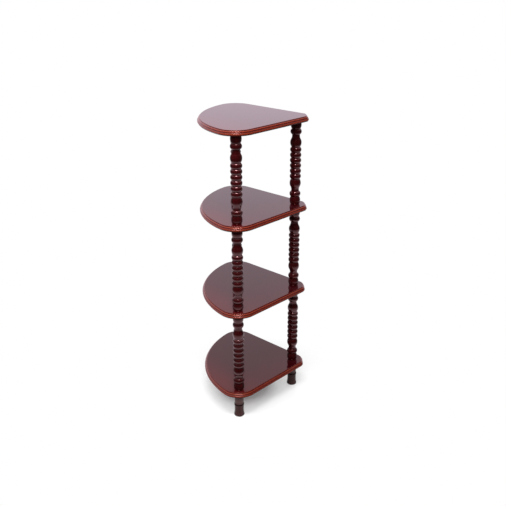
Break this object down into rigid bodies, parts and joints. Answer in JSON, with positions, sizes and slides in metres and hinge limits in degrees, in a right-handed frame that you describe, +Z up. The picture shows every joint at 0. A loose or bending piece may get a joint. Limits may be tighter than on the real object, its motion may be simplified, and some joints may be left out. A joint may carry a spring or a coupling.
{
  "type": "stepped corner stand",
  "caption": "Free-standing corner stand: fan-shaped shelves with a square back corner, bowed front and moulded edge, held apart by turned posts on short turned feet.",
  "frame": {"origin": "centre of the bounding box's base, on the floor", "axes": "+Z up, +Y to the shelves' square back corner, -Y to the bowed front, x = 0 the plane of symmetry"},
  "size_m": [0.4572, 0.3556, 0.9906],
  "materials": {
    "shelf_lacquer": "gloss",
    "post_lacquer": "gloss",
    "foot_lacquer": "satin",
    "stud_steel": "satin",
    "insert_steel": "satin"
  },
  "bodies": {
    "root": {"shelf_bottom": "shelf_lacquer", "shelf_lower": "shelf_lacquer", "shelf_upper": "shelf_lacquer", "shelf_top": "shelf_lacquer", "foot_corner": "foot_lacquer", "post_corner_lower": "post_lacquer", "post_corner_middle": "post_lacquer", "post_corner_upper": "post_lacquer", "stud_corner_bottom": "stud_steel", "stud_corner_lower": "stud_steel", "stud_corner_upper": "stud_steel", "stud_corner_top": "stud_steel", "insert_corner_bottom": "insert_steel", "insert_corner_lower": "insert_steel", "insert_corner_upper": "insert_steel", "insert_corner_top": "insert_steel", "foot_right": "foot_lacquer", "post_right_lower": "post_lacquer", "post_right_middle": "post_lacquer", "post_right_upper": "post_lacquer", "stud_right_bottom": "stud_steel", "stud_right_lower": "stud_steel", "stud_right_upper": "stud_steel", "stud_right_top": "stud_steel", "insert_right_bottom": "insert_steel", "insert_right_lower": "insert_steel", "insert_right_upper": "insert_steel", "insert_right_top": "insert_steel", "foot_left": "foot_lacquer", "post_left_lower": "post_lacquer", "post_left_middle": "post_lacquer", "post_left_upper": "post_lacquer", "stud_left_bottom": "stud_steel", "stud_left_lower": "stud_steel", "stud_left_upper": "stud_steel", "stud_left_top": "stud_steel", "insert_left_bottom": "insert_steel", "insert_left_lower": "insert_steel", "insert_left_upper": "insert_steel", "insert_left_top": "insert_steel"}
  },
  "joints": []
}
